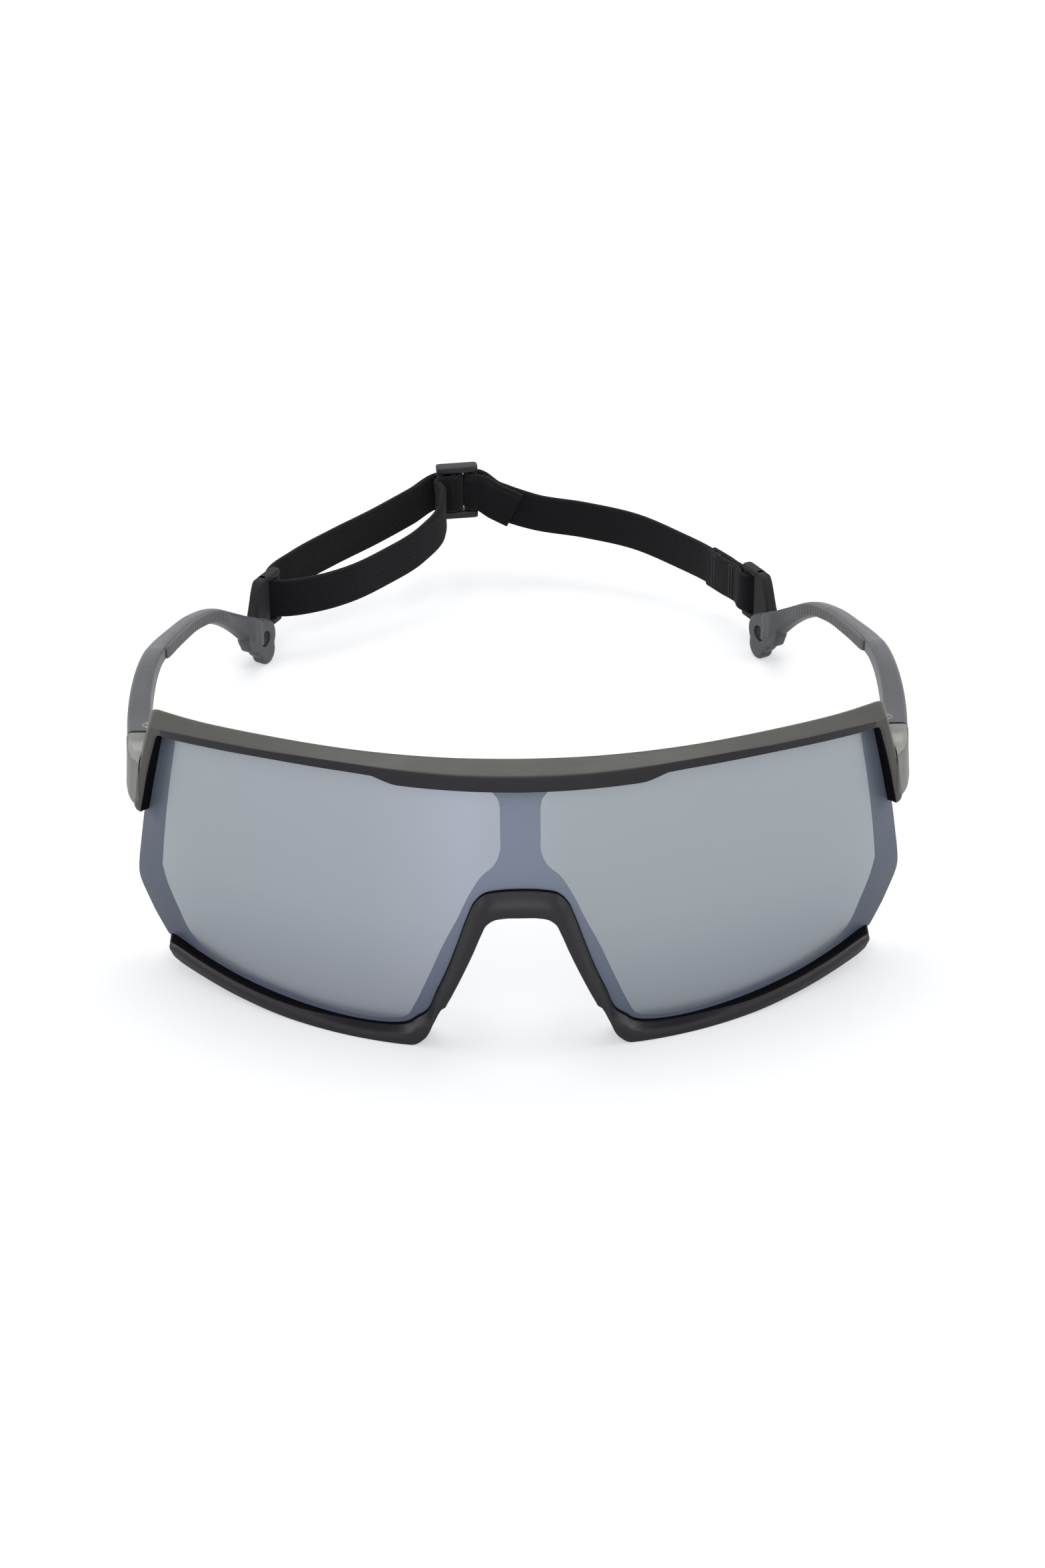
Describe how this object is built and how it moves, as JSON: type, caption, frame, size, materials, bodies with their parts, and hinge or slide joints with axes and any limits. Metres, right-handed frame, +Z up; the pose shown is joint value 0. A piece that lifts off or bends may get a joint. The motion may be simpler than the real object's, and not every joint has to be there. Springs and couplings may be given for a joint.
{
  "type": "sports sunglasses",
  "caption": "Half-frame wrap shield sunglasses with one mirrored lens, a brow frame, a lower rim with nose arch, folding temples and a clip-on webbing retainer strap.",
  "frame": {"origin": "centre of the footprint, on the plane that the glasses rest on", "axes": "+Z up, -Y the way the lens faces, +X towards the right of someone who looks at the lens"},
  "size_m": [0.1458, 0.2072, 0.0588],
  "materials": {
    "frame": "satin moulded nylon",
    "lens": "smoke polycarbonate with a silver mirror coat",
    "rim": "satin moulded nylon",
    "rubber": "matte",
    "screw": "plain",
    "nut": "plain",
    "clip": "satin moulded",
    "webbing": "woven webbing"
  },
  "bodies": {
    "front": {"brow_frame": "frame", "lens": "lens", "lower_rim": "rim", "nose_bracket": "rim", "nose_pad_left": "rubber", "nose_pad_right": "rubber", "left_hinge_screw": "screw", "right_hinge_screw": "screw", "left_hinge_nut": "nut", "right_hinge_nut": "nut"},
    "left_arm": {"left_temple": "frame", "left_ear_grip": "rubber"},
    "right_arm": {"right_temple": "frame", "right_ear_grip": "rubber", "right_strap_clip": "clip"},
    "sewn_end": {"strap_end": "webbing"},
    "right_strap": {"strap_right": "webbing"},
    "left_strap": {"strap_loop": "webbing", "strap_slider": "clip", "left_strap_clip": "clip"}
  },
  "joints": [
    {"name": "left_fold", "type": "hinge", "parent": "front", "child": "left_arm", "pos_m": [-0.0674, -0.06111, 0.0426], "axis": [0, 0, -1], "range_deg": [0, 84]},
    {"name": "right_fold", "type": "hinge", "parent": "front", "child": "right_arm", "pos_m": [0.0674, -0.06111, 0.0426], "axis": [0, 0, 1], "range_deg": [0, 76]},
    {"name": "strap_end_turn", "type": "hinge", "parent": "right_arm", "child": "sewn_end", "pos_m": [0.05235, 0.06533, 0.0116], "axis": [0, 0, 1], "range_deg": [-130, 0]},
    {"name": "strap_bend", "type": "hinge", "parent": "sewn_end", "child": "right_strap", "pos_m": [0.04429, 0.07901, 0.0112], "axis": [0, 0, 1], "range_deg": [-71, 0]},
    {"name": "slider_turn", "type": "hinge", "parent": "right_strap", "child": "left_strap", "pos_m": [-0.0083, 0.10113, 0.0202], "axis": [0, 0, 1], "range_deg": [-51, 0]}
  ],
  "couplings": [
    {"joint": "strap_end_turn", "follows": "right_fold", "ratio": -1.7},
    {"joint": "strap_bend", "follows": "right_fold", "ratio": -0.92},
    {"joint": "slider_turn", "follows": "right_fold", "ratio": -0.66}
  ]
}
